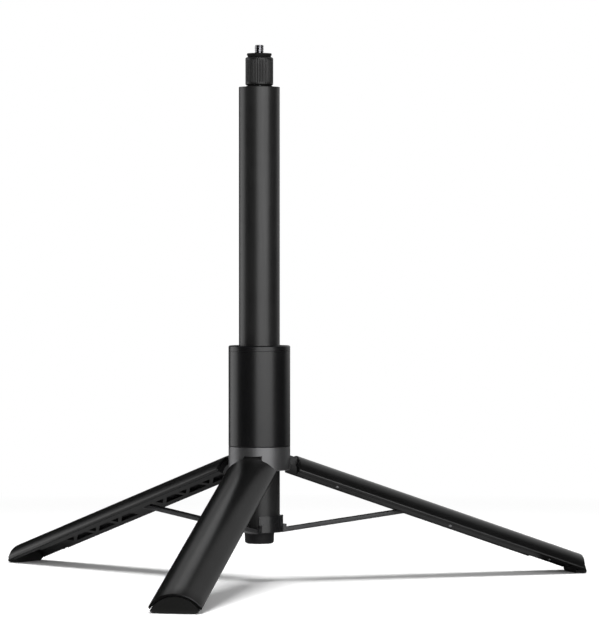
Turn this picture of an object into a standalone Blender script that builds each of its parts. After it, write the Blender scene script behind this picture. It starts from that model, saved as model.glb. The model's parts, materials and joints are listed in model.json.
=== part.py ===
"""Selfie stick whose handle opens into a tripod.

A telescopic pole slides through a hub. A runner ring on the foot of the pole works three struts,
and the struts open the three legs, or fold them down round the pole to make the handle.

Metres, +Z up, shown with the legs open. The soles stand on z = 0, and the origin is the middle of
the box round their footprint.
"""

import math

import bmesh
import bpy
from mathutils import Matrix, Vector

for leftover in list(bpy.data.objects):
    bpy.data.objects.remove(leftover, do_unlink=True)

# Fits
CLEARANCE = 0.0003
OVERCUT = 0.002

# Pole and its telescopic sections
POLE_RADIUS = 0.0140
POLE_WALL = 0.0010
POLE_LENGTH = 0.3008
SECTION_COUNT = 5
SECTION_WALL = 0.0008
SECTION_GAP = 0.0009
NECK_LENGTH = 0.0050
GLIDE_HEIGHT = 0.0080
SECTION_SINK = 0.0004
PLUG_HEIGHT = 0.0135

# Legs: sectors of a tube that close round the pole
LEG_COUNT = 3
FIRST_LEG_ANGLE = math.radians(-90.0)
LEG_LENGTH = 0.2306
LEG_SLOPE = math.radians(19.13)
LEG_HALF_ANGLE = math.radians(58.0)
LEG_TOP_GAP = 0.0085
EYE_RADIUS = 0.0026
EYE_TO_POLE = 0.0004
PIVOT_DEPTH = 0.0040
SHELL_WALL = 0.0018
SHELL_END_ROUND = 0.0015
RAIL_TO_POLE = 0.0013
TONGUE_WIDTH = 0.0120
TONGUE_ROOT = 0.0060

# Zig-zag ribs of a leg frame
POCKET_PITCH = 0.0120
POCKET_HALF_WIDTH = 0.0050
POCKET_FILL = 0.76
POCKET_ANGLE = math.radians(32.0)
POCKET_FLOOR = 0.0015
FRAME_HEAD = 0.0130
RECESS_LEAD = 0.0060
SLOT_END_WALL = 0.0038

# Feet
FOOT_CORE = 0.0020
FOOT_LENGTH = 0.0037
FOOT_LIFT = 0.0002
FOOT_TIP_BACK = 0.0015
FOOT_TRIM_ANGLE = math.radians(0.6)

# Struts and their pivots
STRUT_SLOPE = math.radians(7.13)
STRUT_WIDTH = 0.0060
STRUT_THICKNESS = 0.0030
STRUT_KNUCKLE = 0.0016
STRUT_PIN_RADIUS = 0.0009
JOINT_TO_POLE = 0.0028
JOINT_BLOCK = 0.0065
JOINT_PIN_HALF = 0.0058
RUNNER_PIN_TO_POLE = 0.0020
RUNNER_PIN_HALF = 0.0046

# Runner ring and end cap at the foot of the pole
RUNNER_WALL = 0.00225
RUNNER_HEIGHT = 0.0114
RUNNER_FLANGE = 0.0025
RUNNER_PIN_COVER = 0.0009
LUG_WIDTH = 0.0020
LUG_HEIGHT = 0.0053
LUG_REACH = 0.0019
NOTCH_RELIEF = 0.0005
CAP_RADIUS = 0.01015
CAP_DROP = 0.0080
CAP_TO_FOOT = 0.00135
CAP_TAPER = 0.0003
CAP_CHAMFER = 0.0010
SCREW_RADIUS = 0.0015
SCREW_HEAD_RADIUS = 0.0030
SCREW_HEAD_HEIGHT = 0.0024
SCREW_LENGTH = 0.0200

# Hub
HUB_STEP = 0.0001
HUB_TO_POLE = 0.0005
HUB_BELOW_PIVOT = 0.00817
HUB_ABOVE_PIVOT = 0.00783
HUB_EDGE = 0.0004
LEG_PIN_RADIUS = 0.0011
LEG_PIN_HALF = 0.0085
SPIGOT_HEIGHT = 0.0060
COLLAR_WALL = 0.0031
COLLAR_HEIGHT = 0.0655
TRIM_HEIGHT = 0.0034
TRIM_ROUND = 0.0010
TRIM_SPIGOT = 0.0040
BUSH_HEIGHT = 0.0140
FRICTION_RING_HEIGHT = 0.0050

# Head: quarter inch camera stud, lock nut and seat pad
STUD_RADIUS = 0.003175
STUD_EXPOSED = 0.0057
STUD_CHAMFER = 0.0006
SPINDLE_DEPTH = 0.0200
SHOULDER_HEIGHT = 0.0009
NUT_RADIUS = 0.0095
NUT_HEIGHT = 0.0191
NUT_EDGE = 0.0007
PAD_RADIUS = 0.00845
PAD_HEIGHT = 0.0024
PAD_EDGE = 0.0005

# Facets
TURN_STEPS = 48
INNER_STEPS = 24
SMALL_STEPS = 12
SECTOR_STEPS = 14
ARC_STEPS = 8
ROUND_STEPS = 4
WELD = 1e-7
SMOOTH_LIMIT = math.radians(35.0)

# Radii that follow from the pole
PIVOT_RADIUS = POLE_RADIUS + EYE_TO_POLE + EYE_RADIUS
LEG_RADIUS = PIVOT_RADIUS + PIVOT_DEPTH
SHELL_INNER = LEG_RADIUS - SHELL_WALL
FRAME_OUTER = SHELL_INNER - CLEARANCE
RAIL_INNER = POLE_RADIUS + RAIL_TO_POLE
HUB_RADIUS = LEG_RADIUS + HUB_STEP
HUB_BORE = POLE_RADIUS + HUB_TO_POLE
COLLAR_INNER = HUB_RADIUS - COLLAR_WALL
BUSH_OUTER = COLLAR_INNER - CLEARANCE
BUSH_BORE = POLE_RADIUS + CLEARANCE
RUNNER_RADIUS = POLE_RADIUS + RUNNER_WALL
RUNNER_BORE = POLE_RADIUS + CLEARANCE
RUNNER_PIN_RADIUS = POLE_RADIUS + RUNNER_PIN_TO_POLE
LUG_RADIUS = RUNNER_PIN_RADIUS + LUG_REACH
JOINT_RADIUS = POLE_RADIUS + JOINT_TO_POLE
PIN_HOLE = STRUT_PIN_RADIUS + CLEARANCE
LEG_PIN_HOLE = LEG_PIN_RADIUS + CLEARANCE
STRUT_SLOT = STRUT_WIDTH / 2 + CLEARANCE
FRAME_SLOT = STRUT_SLOT + CLEARANCE

# Heights that follow from the legs standing on the floor
RAIL_EDGE = RAIL_INNER * math.cos(LEG_HALF_ANGLE)
PIVOT_Z = (
    LEG_LENGTH * math.sin(LEG_SLOPE)
    + (PIVOT_RADIUS - RAIL_EDGE) * math.cos(LEG_SLOPE)
    + FOOT_LIFT
)
HUB_BOTTOM = PIVOT_Z - HUB_BELOW_PIVOT
HUB_TOP = PIVOT_Z + HUB_ABOVE_PIVOT
TRIM_BOTTOM = HUB_TOP + COLLAR_HEIGHT


def on_leg(along, radius):
    """Distance from the hub axis and height, at rest, of a point this far down a leg's middle."""
    out = radius - PIVOT_RADIUS
    across = PIVOT_RADIUS + along * math.cos(LEG_SLOPE) + out * math.sin(LEG_SLOPE)
    height = PIVOT_Z - along * math.sin(LEG_SLOPE) + out * math.cos(LEG_SLOPE)
    return across, height


# Strut joint: as far down the leg as the folded strut brings the end cap just short of the foot.
# Joint to runner pin is REACH times the joint's distance down the leg, plus a fixed START.
FOOT_ALONG = LEG_LENGTH - FOOT_LENGTH
PIN_ALONG = FOOT_ALONG - CAP_TO_FOOT - CAP_DROP - RUNNER_PIN_COVER
REACH = math.cos(LEG_SLOPE) / math.cos(STRUT_SLOPE)
START = (on_leg(0, JOINT_RADIUS)[0] - RUNNER_PIN_RADIUS) / math.cos(STRUT_SLOPE)
JOINT_ALONG = (PIN_ALONG - START) / (1 + REACH)

# Linkage: strut joint on the leg, runner pin on the ring, and the travel between open and folded
JOINT_ACROSS, JOINT_Z = on_leg(JOINT_ALONG, JOINT_RADIUS)
STRUT_LENGTH = (JOINT_ACROSS - RUNNER_PIN_RADIUS) / math.cos(STRUT_SLOPE)
RUNNER_PIN_Z = JOINT_Z - STRUT_LENGTH * math.sin(STRUT_SLOPE)
FOLDED_DROP = math.sqrt(STRUT_LENGTH**2 - (JOINT_RADIUS - RUNNER_PIN_RADIUS) ** 2)
POLE_TRAVEL = RUNNER_PIN_Z - (PIVOT_Z - JOINT_ALONG - FOLDED_DROP)
LEG_FOLD = math.radians(90.0) - LEG_SLOPE

RUNNER_BOTTOM = RUNNER_PIN_Z - RUNNER_PIN_COVER
RUNNER_TOP = RUNNER_BOTTOM + RUNNER_HEIGHT
FLANGE_TOP = RUNNER_BOTTOM + RUNNER_FLANGE
POLE_BOTTOM = FLANGE_TOP + CLEARANCE
POLE_TOP = POLE_BOTTOM + POLE_LENGTH
PLUG_TOP = POLE_BOTTOM + PLUG_HEIGHT
CAP_BOTTOM = RUNNER_BOTTOM - CAP_DROP

# How far down a folded leg the runner ring comes to rest, and the recess that clears it
RUNNER_ALONG = PIVOT_Z - (RUNNER_TOP - POLE_TRAVEL)
FRAME_END = FOOT_ALONG - CLEARANCE
RUNNER_RECESS = RUNNER_RADIUS + 2 * CLEARANCE
RECESS_ALONG = RUNNER_ALONG - RECESS_LEAD
FOOT_REACH = on_leg(LEG_LENGTH, LEG_RADIUS)[0]
FOOT_TIP = FOOT_REACH - FOOT_TIP_BACK

# Hub axis measured from the middle of the footprint box: one leg points to -Y, two point back
BACK_ANGLE = FIRST_LEG_ANGLE + 2 * math.pi / LEG_COUNT
LEG_HALF_WIDTH = LEG_RADIUS * math.sin(LEG_HALF_ANGLE)
BACK_REACH = FOOT_REACH * math.sin(BACK_ANGLE) + LEG_HALF_WIDTH * math.cos(BACK_ANGLE)
AXIS_Y = (FOOT_REACH - BACK_REACH) / 2


def srgb(hex_colour):
    """Linear red, green and blue of an sRGB hex colour."""
    parts = [int(hex_colour[i : i + 2], 16) / 255 for i in (0, 2, 4)]
    return [c / 12.92 if c <= 0.04045 else ((c + 0.055) / 1.055) ** 2.4 for c in parts]


def finish(name, hex_colour, roughness, metallic=0.0):
    """A plain Principled material."""
    material = bpy.data.materials.new(name)
    material.use_nodes = True
    shader = material.node_tree.nodes["Principled BSDF"]
    shader.inputs["Base Color"].default_value = (*srgb(hex_colour), 1.0)
    shader.inputs["Roughness"].default_value = roughness
    shader.inputs["Metallic"].default_value = metallic
    return material


BLACK_TUBE = finish("black anodised aluminium", "1c1c1e", 0.40, 0.6)
BLACK_PLASTIC = finish("black moulded plastic", "202022", 0.50)
GREY_PLASTIC = finish("dark grey moulded plastic", "3c3c3f", 0.42)
LEG_PLASTIC = finish("satin black leg shell", "242426", 0.42)
RUBBER = finish("black rubber", "181818", 0.75)
STEEL = finish("bright steel", "b8b8bc", 0.25, 1.0)
NYLON = finish("white nylon", "d8d6d0", 0.55)
STRUT_METAL = finish("grey painted steel strut", "4a4a4d", 0.45, 0.4)
KNURLED = finish("knurled black aluminium", "262628", 0.45, 0.6)


def arc(centre, radius, start, end, steps=ARC_STEPS):
    """Points on an arc between two angles, both ends included."""
    turns = [start + (end - start) * i / steps for i in range(steps + 1)]
    return [(centre[0] + radius * math.cos(t), centre[1] + radius * math.sin(t)) for t in turns]


def turned(outline, steps=TURN_STEPS, half_angle=None):
    """A closed (radius, height) outline turned about Z: all the way, or this far to each side of +X."""
    bm = bmesh.new()
    face = bm.faces.new([bm.verts.new((radius, 0.0, height)) for radius, height in outline])
    spin = {"axis": (0, 0, 1), "cent": (0, 0, 0), "steps": steps}
    if half_angle is None:
        edges = list(face.edges)
        bmesh.ops.delete(bm, geom=[face], context="FACES_ONLY")
        bmesh.ops.spin(bm, geom=edges, angle=2 * math.pi, **spin)
    else:
        start = Matrix.Rotation(-half_angle, 3, "Z")
        bmesh.ops.rotate(bm, verts=bm.verts, cent=(0, 0, 0), matrix=start)
        bmesh.ops.spin(bm, geom=[face], angle=2 * half_angle, **spin)
    bmesh.ops.remove_doubles(bm, verts=bm.verts, dist=WELD)
    return bm


def prism(outline, half_width):
    """An (x, z) outline carried along Y, half of its width to each side."""
    bm = bmesh.new()
    face = bm.faces.new([bm.verts.new((x, -half_width, z)) for x, z in outline])
    grown = bmesh.ops.extrude_face_region(bm, geom=[face])
    tops = [v for v in grown["geom"] if isinstance(v, bmesh.types.BMVert)]
    bmesh.ops.translate(bm, verts=tops, vec=(0, 2 * half_width, 0))
    return bm


def box(low, high):
    """A box between two corners."""
    outline = [(low[0], low[2]), (high[0], low[2]), (high[0], high[2]), (low[0], high[2])]
    bm = prism(outline, (high[1] - low[1]) / 2)
    bmesh.ops.translate(bm, verts=bm.verts, vec=(0, (high[1] + low[1]) / 2, 0))
    return bm


def rod(radius, half_length, steps=SMALL_STEPS):
    """A round pin along Y, centred on the origin."""
    circle = arc((0, 0), radius, 0, 2 * math.pi, steps)[:-1]
    return prism(circle, half_length)


def empty(name, parent=None, location=(0, 0, 0), rotation=(0, 0, 0)):
    """A joint's own origin, which carries the pieces that move with it."""
    marker = bpy.data.objects.new(name, None)
    bpy.context.scene.collection.objects.link(marker)
    marker.parent = parent
    marker.location = location
    marker.rotation_euler = rotation
    return marker


def piece(name, bm, material, parent, location=(0, 0, 0), rotation=(0, 0, 0)):
    """One closed solid of the object."""
    bmesh.ops.recalc_face_normals(bm, faces=bm.faces)
    mesh = bpy.data.meshes.new(name)
    bm.to_mesh(mesh)
    bm.free()
    mesh.shade_smooth()
    mesh.set_sharp_from_angle(angle=SMOOTH_LIMIT)
    solid = bpy.data.objects.new(name, mesh)
    solid.data.materials.append(material)
    bpy.context.scene.collection.objects.link(solid)
    solid.parent = parent
    solid.location = location
    solid.rotation_euler = rotation
    return solid


def shape_with(solid, bm, operation, parent, location=(0, 0, 0), rotation=(0, 0, 0)):
    """Cuts, joins or trims a solid by a hidden tool shape."""
    number = len(solid.modifiers) + 1
    tool = piece(f"tool_{number}_{solid.name}", bm, solid.data.materials[0], parent, location, rotation)
    tool.hide_render = True
    tool.display_type = "WIRE"
    change = solid.modifiers.new(f"{operation.lower()} {number}", "BOOLEAN")
    change.operation = operation
    change.solver = "EXACT"
    change.object = tool


def section_radius(number):
    """Outside radius of a telescopic section. Section 1 is the outer tube of the pole."""
    radius = POLE_RADIUS
    for outer in range(1, number):
        radius -= section_wall(outer) + SECTION_GAP
    return radius


def section_wall(number):
    return POLE_WALL if number == 1 else SECTION_WALL


def tube_outline(number, bottom, top):
    """Half section of a tube whose top neck closes in round the next section."""
    outside = section_radius(number)
    inside = outside - section_wall(number)
    neck = inside
    if number <= SECTION_COUNT:
        neck = section_radius(number + 1) + CLEARANCE
    return [
        (outside, top),
        (outside, bottom),
        (inside, bottom),
        (inside, top - NECK_LENGTH - (inside - neck)),
        (neck, top - NECK_LENGTH),
        (neck, top),
    ]


def ring_outline(inside, outside, bottom, top):
    return [(inside, bottom), (outside, bottom), (outside, top), (inside, top)]


LAST_SECTION = SECTION_COUNT + 1
SECTION_TOP = POLE_TOP - SECTION_SINK
GLIDE_BOTTOM = PLUG_TOP + CLEARANCE
GLIDE_TOP = GLIDE_BOTTOM + GLIDE_HEIGHT


def build_hub(axis):
    """Hub ring that carries the legs, with the collar and its bushes above it."""
    spigot_top = HUB_TOP + SPIGOT_HEIGHT
    ring = piece(
        "hub_ring",
        turned([
            (HUB_BORE, HUB_BOTTOM),
            (HUB_RADIUS - HUB_EDGE, HUB_BOTTOM),
            (HUB_RADIUS, HUB_BOTTOM + HUB_EDGE),
            (HUB_RADIUS, HUB_TOP),
            (BUSH_OUTER, HUB_TOP),
            (BUSH_OUTER, spigot_top),
            (HUB_BORE, spigot_top),
        ]),
        GREY_PLASTIC,
        axis,
    )
    piece(
        "collar_sleeve",
        turned(ring_outline(COLLAR_INNER, HUB_RADIUS, HUB_TOP + CLEARANCE, TRIM_BOTTOM - CLEARANCE)),
        BLACK_PLASTIC,
        axis,
    )
    trim_top = TRIM_BOTTOM + TRIM_HEIGHT
    corner = (HUB_RADIUS - TRIM_ROUND, trim_top - TRIM_ROUND)
    trim_foot = TRIM_BOTTOM - TRIM_SPIGOT
    piece(
        "collar_trim",
        turned([
            (HUB_BORE, trim_foot),
            (BUSH_OUTER, trim_foot),
            (BUSH_OUTER, TRIM_BOTTOM),
            (HUB_RADIUS, TRIM_BOTTOM),
            *arc(corner, TRIM_ROUND, 0, math.pi / 2, ROUND_STEPS),
            (HUB_BORE, trim_top),
        ]),
        BLACK_PLASTIC,
        axis,
    )
    upper_top = trim_foot - CLEARANCE
    upper_bottom = upper_top - BUSH_HEIGHT
    friction_top = upper_bottom - CLEARANCE
    lower_bottom = spigot_top + CLEARANCE
    stack = {
        "upper_bush": (upper_bottom, upper_top, NYLON),
        "friction_ring": (friction_top - FRICTION_RING_HEIGHT, friction_top, RUBBER),
        "lower_bush": (lower_bottom, lower_bottom + BUSH_HEIGHT, NYLON),
    }
    for name, (bottom, top, material) in stack.items():
        sleeve = turned(ring_outline(BUSH_BORE, BUSH_OUTER, bottom, top), INNER_STEPS)
        piece(name, sleeve, material, axis)
    return ring


def tongue_notch():
    """Opening in the hub ring for a leg's tongue: its slanted top is the stop of the open leg."""
    lift = EYE_RADIUS + CLEARANCE
    above = PIVOT_Z + lift / math.cos(LEG_SLOPE)
    floor = HUB_BOTTOM - OVERCUT
    ends = (HUB_BORE - OVERCUT, HUB_RADIUS + OVERCUT)
    tops = [(x, above - (x - PIVOT_RADIUS) * math.tan(LEG_SLOPE)) for x in ends]
    outline = [tops[0], (ends[0], floor), (ends[1], floor), tops[1]]
    return prism(outline, TONGUE_WIDTH / 2 + CLEARANCE)


def build_leg(number, axis, angle, ring):
    """One leg, drawn folded against the pole and then swung open about its pivot."""
    turn = (0, 0, angle)
    facing = empty(f"leg_{number}_direction", axis, rotation=turn)
    shape_with(ring, tongue_notch(), "DIFFERENCE", facing)
    bore = rod(LEG_PIN_HOLE, LEG_PIN_HALF + CLEARANCE)
    shape_with(ring, bore, "DIFFERENCE", facing, (PIVOT_RADIUS, 0, PIVOT_Z))
    pin = rod(LEG_PIN_RADIUS, LEG_PIN_HALF)
    piece(f"leg_pin_{number}", pin, STEEL, facing, (PIVOT_RADIUS, 0, PIVOT_Z))

    pivot = empty(f"leg_{number}_pivot", facing, (PIVOT_RADIUS, 0, PIVOT_Z), (0, -LEG_FOLD, 0))
    to_axis = (-PIVOT_RADIUS, 0, 0)
    corner = (LEG_RADIUS - SHELL_END_ROUND, -LEG_LENGTH + SHELL_END_ROUND)
    shell = [
        (SHELL_INNER, -LEG_TOP_GAP),
        (SHELL_INNER, -LEG_LENGTH),
        *arc(corner, SHELL_END_ROUND, -math.pi / 2, 0, ROUND_STEPS),
        (LEG_RADIUS, -LEG_TOP_GAP),
    ]
    piece(f"leg_shell_{number}", turned(shell, SECTOR_STEPS, LEG_HALF_ANGLE), LEG_PLASTIC, pivot, to_axis)
    build_frame(number, pivot, to_axis)

    foot = piece(
        f"foot_{number}",
        turned(
            ring_outline(FOOT_CORE, FRAME_OUTER, -LEG_LENGTH - FRAME_OUTER, -FOOT_ALONG),
            SECTOR_STEPS,
            LEG_HALF_ANGLE - FOOT_TRIM_ANGLE,
        ),
        RUBBER,
        pivot,
        to_axis,
    )
    above_floor = box((0, -LEG_RADIUS, 0), (FOOT_TIP, LEG_RADIUS, LEG_RADIUS))
    shape_with(foot, above_floor, "INTERSECT", facing)

    joint = (JOINT_RADIUS - PIVOT_RADIUS, 0, -JOINT_ALONG)
    pin = rod(STRUT_PIN_RADIUS, JOINT_PIN_HALF)
    piece(f"strut_joint_pin_{number}", pin, STEEL, pivot, joint)
    build_strut(number, facing)


def build_frame(number, pivot, to_axis):
    """Ribbed inner frame of a leg: hinge tongue, rails, zig-zag ribs and the strut's two ears."""
    top = LEG_TOP_GAP + CLEARANCE
    step = RUNNER_RECESS - RAIL_INNER
    outline = [
        (FRAME_OUTER, -top),
        (RAIL_INNER, -top),
        (RAIL_INNER, -RECESS_ALONG + step),
        (RUNNER_RECESS, -RECESS_ALONG),
        (RUNNER_RECESS, -FRAME_END),
        (FRAME_OUTER, -FRAME_END),
    ]
    name = f"leg_frame_{number}"
    frame = piece(name, turned(outline, SECTOR_STEPS, LEG_HALF_ANGLE), BLACK_PLASTIC, pivot, to_axis)

    # The tongue's root is thin enough to stay inside the curve of the shell.
    shoulder = -LEG_TOP_GAP + CLEARANCE
    root_out = math.sqrt(FRAME_OUTER**2 - (TONGUE_WIDTH / 2) ** 2) - PIVOT_RADIUS
    root_in = RAIL_INNER - PIVOT_RADIUS
    tongue = [
        *arc((0, 0), EYE_RADIUS, 0, math.pi),
        (-EYE_RADIUS, shoulder),
        (root_in, shoulder),
        (root_in, -top - TONGUE_ROOT),
        (root_out, -top - TONGUE_ROOT),
        (root_out, shoulder),
        (EYE_RADIUS, shoulder),
    ]
    shape_with(frame, prism(tongue, TONGUE_WIDTH / 2), "UNION", pivot)
    shape_with(frame, rod(LEG_PIN_HOLE, TONGUE_WIDTH), "DIFFERENCE", pivot)

    # Way for the folded strut, wider where the ring's lugs come to rest
    upper, middle = -JOINT_ALONG + JOINT_BLOCK + STRUT_KNUCKLE, -RECESS_ALONG
    lower = -FRAME_END + SLOT_END_WALL
    wide = STRUT_SLOT + LUG_WIDTH + 2 * CLEARANCE
    reach = (-PIVOT_RADIUS, LEG_RADIUS - PIVOT_RADIUS)
    slot = box((reach[0], -FRAME_SLOT, middle - OVERCUT), (reach[1], FRAME_SLOT, upper))
    shape_with(frame, slot, "DIFFERENCE", pivot)
    slot = box((reach[0], -wide, lower), (reach[1], wide, middle))
    shape_with(frame, slot, "DIFFERENCE", pivot)
    joint = (JOINT_RADIUS - PIVOT_RADIUS, 0, -JOINT_ALONG)
    shape_with(frame, rod(PIN_HOLE, JOINT_PIN_HALF + CLEARANCE), "DIFFERENCE", pivot, joint)
    shape_with(frame, frame_pockets(), "DIFFERENCE", pivot, to_axis)


def pocket_row(start, end):
    """Middles of the pockets that fit between two distances down the leg."""
    count = math.floor((end - start) / POCKET_PITCH)
    return [-start - POCKET_PITCH * (i + 1) for i in range(count)]


def frame_pockets():
    """Triangular pockets on both sides of a leg frame, which leave zig-zag ribs between them."""
    bm = bmesh.new()
    above = pocket_row(LEG_TOP_GAP + FRAME_HEAD, JOINT_ALONG - JOINT_BLOCK)
    below = pocket_row(JOINT_ALONG + JOINT_BLOCK, RECESS_ALONG)
    for side in (-1, 1):
        turn = Matrix.Rotation(side * POCKET_ANGLE, 3, "Z")
        for i, middle in enumerate(above + below):
            tip = side * (1 if i % 2 else -1) * POCKET_HALF_WIDTH
            corners = [(-tip, middle - POCKET_PITCH), (-tip, middle + POCKET_PITCH), (tip, middle)]
            centre = (-tip / 3, middle)
            outline = [
                (centre[0] + POCKET_FILL * (y - centre[0]), centre[1] + POCKET_FILL * (z - centre[1]))
                for y, z in corners
            ]
            depth = (RAIL_INNER - OVERCUT, FRAME_OUTER - POCKET_FLOOR)
            low = bm.faces.new([bm.verts.new(turn @ Vector((depth[0], y, z))) for y, z in outline])
            grown = bmesh.ops.extrude_face_region(bm, geom=[low])
            tops = [v for v in grown["geom"] if isinstance(v, bmesh.types.BMVert)]
            outwards = turn @ Vector((depth[1] - depth[0], 0, 0))
            bmesh.ops.translate(bm, verts=tops, vec=outwards)
    return bm


def build_strut(number, facing):
    """Flat strut from the leg to the runner ring, with a knuckle at each end."""
    half = STRUT_THICKNESS / 2
    dip = math.asin(half / STRUT_KNUCKLE)
    outline = [
        *arc((0, 0), STRUT_KNUCKLE, dip, 2 * math.pi - dip),
        *arc((STRUT_LENGTH, 0), STRUT_KNUCKLE, math.pi + dip, 3 * math.pi - dip),
    ]
    joint = (JOINT_ACROSS, 0, JOINT_Z)
    pivot = empty(f"strut_{number}_pivot", facing, joint, (0, math.pi - STRUT_SLOPE, 0))
    strut = piece(f"strut_{number}", prism(outline, STRUT_WIDTH / 2), STRUT_METAL, pivot)
    for x in (0, STRUT_LENGTH):
        shape_with(strut, rod(PIN_HOLE, STRUT_WIDTH), "DIFFERENCE", pivot, (x, 0, 0))
    pin = rod(STRUT_PIN_RADIUS, RUNNER_PIN_HALF)
    piece(f"runner_pin_{number}", pin, STEEL, pivot, (STRUT_LENGTH, 0, 0))


def build_pole(axis):
    """Outer tube with the runner ring, plug, end cap and screw at its foot."""
    pole = empty("pole_slide", axis)
    piece("pole_tube", turned(tube_outline(1, POLE_BOTTOM, POLE_TOP)), BLACK_TUBE, pole)

    cap_bore = CAP_RADIUS + CLEARANCE
    ring = piece(
        "runner_ring",
        turned([
            (cap_bore, RUNNER_BOTTOM),
            (RUNNER_RADIUS, RUNNER_BOTTOM),
            (RUNNER_RADIUS, RUNNER_TOP),
            (RUNNER_BORE, RUNNER_TOP),
            (RUNNER_BORE, FLANGE_TOP),
            (cap_bore, FLANGE_TOP),
        ]),
        GREY_PLASTIC,
        pole,
    )
    lug_half = STRUT_SLOT + LUG_WIDTH
    slot_floor = (RUNNER_BORE + cap_bore) / 2
    for i in range(LEG_COUNT):
        facing = empty(f"runner_{i + 1}_direction", pole, rotation=(0, 0, leg_angle(i)))
        lug_low = (RUNNER_BORE, -lug_half, RUNNER_BOTTOM)
        lug = box(lug_low, (LUG_RADIUS, lug_half, RUNNER_BOTTOM + LUG_HEIGHT))
        shape_with(ring, lug, "UNION", facing)
        slot_low = (slot_floor, -STRUT_SLOT, RUNNER_BOTTOM - OVERCUT)
        slot = box(slot_low, (LUG_RADIUS + OVERCUT, STRUT_SLOT, RUNNER_TOP + OVERCUT))
        shape_with(ring, slot, "DIFFERENCE", facing)
        floor = RUNNER_BOTTOM - OVERCUT
        notch = [
            *arc((RUNNER_PIN_RADIUS, RUNNER_PIN_Z), PIN_HOLE, 0, math.pi),
            (RUNNER_PIN_RADIUS - PIN_HOLE - NOTCH_RELIEF, floor),
            (RUNNER_PIN_RADIUS + PIN_HOLE, floor),
        ]
        shape_with(ring, prism(notch, RUNNER_PIN_HALF + CLEARANCE), "DIFFERENCE", facing)

    plug_outline = [
        (SCREW_RADIUS + CLEARANCE, POLE_BOTTOM),
        (POLE_RADIUS - POLE_WALL - CLEARANCE, POLE_BOTTOM),
        (POLE_RADIUS - POLE_WALL - CLEARANCE, PLUG_TOP),
        (SCREW_RADIUS + CLEARANCE, PLUG_TOP),
    ]
    piece("pole_plug", turned(plug_outline, INNER_STEPS), BLACK_PLASTIC, pole)

    head_room = CAP_BOTTOM + SCREW_HEAD_HEIGHT + 2 * CLEARANCE
    cap_outline = [
        (SCREW_HEAD_RADIUS + CLEARANCE, CAP_BOTTOM),
        (CAP_RADIUS - CAP_TAPER - CAP_CHAMFER, CAP_BOTTOM),
        (CAP_RADIUS - CAP_TAPER, CAP_BOTTOM + CAP_CHAMFER),
        (CAP_RADIUS, RUNNER_BOTTOM),
        (CAP_RADIUS, FLANGE_TOP),
        (SCREW_RADIUS + CLEARANCE, FLANGE_TOP),
        (SCREW_RADIUS + CLEARANCE, head_room),
        (SCREW_HEAD_RADIUS + CLEARANCE, head_room),
    ]
    piece("end_cap", turned(cap_outline, INNER_STEPS), BLACK_PLASTIC, pole)
    seat = head_room - CLEARANCE
    screw_outline = [
        (0, seat - SCREW_HEAD_HEIGHT),
        (SCREW_HEAD_RADIUS, seat - SCREW_HEAD_HEIGHT),
        (SCREW_HEAD_RADIUS, seat),
        (SCREW_RADIUS, seat),
        (SCREW_RADIUS, seat + SCREW_LENGTH),
        (0, seat + SCREW_LENGTH),
    ]
    piece("cap_screw", turned(screw_outline, SMALL_STEPS), STEEL, pole)


def build_sections(axis):
    """Inner telescopic tubes, each on a glide ring that the neck of the next larger tube stops."""
    for number in range(2, LAST_SECTION + 1):
        slide = empty(f"section_{number}_slide", axis)
        tube = turned(tube_outline(number, GLIDE_TOP + CLEARANCE, SECTION_TOP), INNER_STEPS)
        piece(f"section_{number}_tube", tube, BLACK_TUBE, slide)
        inside = section_radius(number) - section_wall(number)
        outside = section_radius(number) + SECTION_GAP - CLEARANCE
        glide = turned(ring_outline(inside, outside, GLIDE_BOTTOM, GLIDE_TOP), INNER_STEPS)
        piece(f"section_{number}_glide", glide, NYLON, slide)


def build_head(axis):
    """Spindle with the camera stud in the thinnest tube, and the lock nut and seat pad round it."""
    head = empty("head_axis", axis)
    bore = section_radius(LAST_SECTION) - section_wall(LAST_SECTION) - CLEARANCE
    rest = SECTION_TOP + CLEARANCE
    shoulder = rest + SHOULDER_HEIGHT
    nut_bottom = shoulder + CLEARANCE
    nut_top = nut_bottom + NUT_HEIGHT
    pad_bottom = nut_top + CLEARANCE
    pad_top = pad_bottom + PAD_HEIGHT
    tip = pad_top + STUD_EXPOSED
    hole = STUD_RADIUS + CLEARANCE
    spindle = [
        (0, rest - SPINDLE_DEPTH),
        (bore, rest - SPINDLE_DEPTH),
        (bore, rest),
        (section_radius(LAST_SECTION), rest),
        (section_radius(LAST_SECTION), shoulder),
        (STUD_RADIUS, shoulder),
        (STUD_RADIUS, tip - STUD_CHAMFER),
        (STUD_RADIUS - STUD_CHAMFER, tip),
        (0, tip),
    ]
    piece("head_spindle", turned(spindle, INNER_STEPS), STEEL, head)
    nut = [
        (hole, nut_bottom),
        (NUT_RADIUS - NUT_EDGE, nut_bottom),
        (NUT_RADIUS, nut_bottom + NUT_EDGE),
        (NUT_RADIUS, nut_top - NUT_EDGE),
        (NUT_RADIUS - NUT_EDGE, nut_top),
        (hole, nut_top),
    ]
    piece("lock_nut", turned(nut), KNURLED, head)
    pad = [
        (hole, pad_bottom),
        (PAD_RADIUS, pad_bottom),
        (PAD_RADIUS, pad_top - PAD_EDGE),
        (PAD_RADIUS - PAD_EDGE, pad_top),
        (hole, pad_top),
    ]
    piece("seat_pad", turned(pad), RUBBER, head)


def leg_angle(index):
    return FIRST_LEG_ANGLE + 2 * math.pi * index / LEG_COUNT


def build():
    axis = empty("hub_axis", location=(0, AXIS_Y, 0))
    ring = build_hub(axis)
    for i in range(LEG_COUNT):
        build_leg(i + 1, axis, leg_angle(i), ring)
    build_pole(axis)
    build_sections(axis)
    build_head(axis)


build()
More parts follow.
